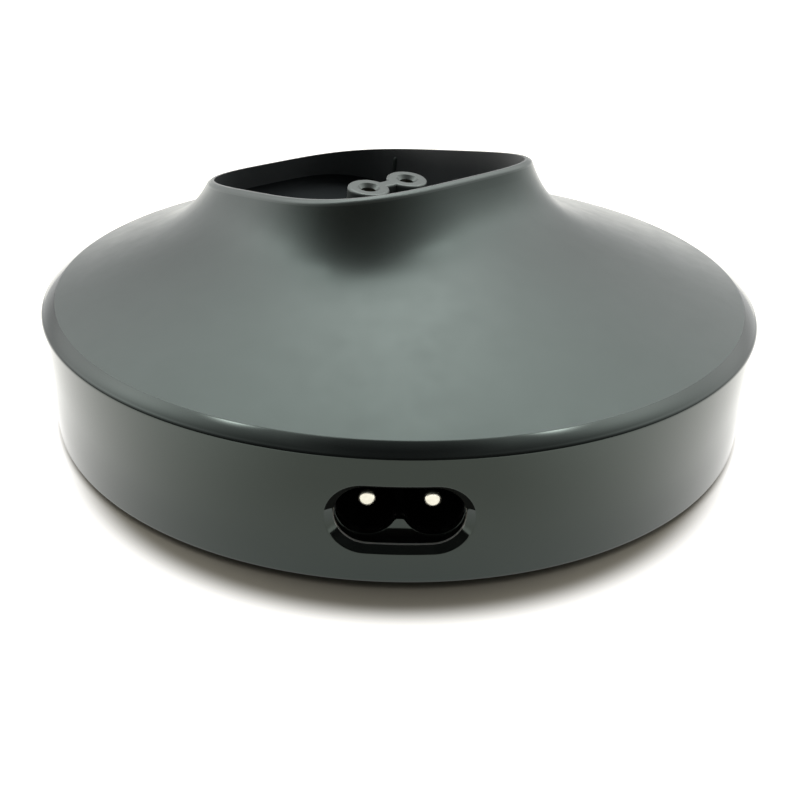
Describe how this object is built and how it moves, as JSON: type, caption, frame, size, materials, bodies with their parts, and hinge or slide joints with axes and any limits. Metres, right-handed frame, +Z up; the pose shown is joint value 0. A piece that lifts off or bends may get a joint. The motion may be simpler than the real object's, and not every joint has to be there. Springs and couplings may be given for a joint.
{
  "type": "shaver charging stand",
  "caption": "Round weighted charging stand: a low side wall, a flared top with a slanted collar, a plug in the shaver's well and a mains inlet in the side.",
  "frame": {"origin": "on the floor, under the middle of the round base", "axes": "+Z up, -Y towards the mains inlet, +X to the right of somebody who faces the inlet"},
  "size_m": [0.12, 0.12, 0.0408],
  "materials": {
    "satin_shell": "fine satin-textured black plastic on the top, polished on the side wall and bevel",
    "base_plastic": "fine-textured black plastic",
    "gloss_black": "polished black plastic",
    "plug_plastic": "smooth black plastic, lightly polished",
    "nickel": "nickel-plated brass, polished",
    "spring_bronze": "tinned spring bronze",
    "zinc_steel": "zinc-plated steel",
    "ballast_steel": "plain pressed steel with a thin oil film",
    "foot_rubber": "soft dull rubber",
    "lead_brown": "smooth flexible insulation",
    "lead_blue": "smooth flexible insulation"
  },
  "bodies": {
    "root": {"top_cover": "satin_shell", "base_plate": "base_plastic", "ballast_weight": "ballast_steel", "ballast_screws": "zinc_steel", "cover_screws": "zinc_steel", "inlet_body": "gloss_black", "inlet_pin_left": "nickel", "inlet_pin_right": "nickel", "inlet_receptacles": "nickel", "plug_body": "plug_plastic", "plug_contact_left": "spring_bronze", "plug_contact_right": "spring_bronze", "plug_receptacles": "nickel", "plug_retainer": "base_plastic", "retainer_screws": "zinc_steel", "lead_left": "lead_brown", "lead_right": "lead_blue", "foot_right": "foot_rubber", "foot_back": "foot_rubber", "foot_left": "foot_rubber", "foot_front": "foot_rubber"}
  },
  "joints": []
}
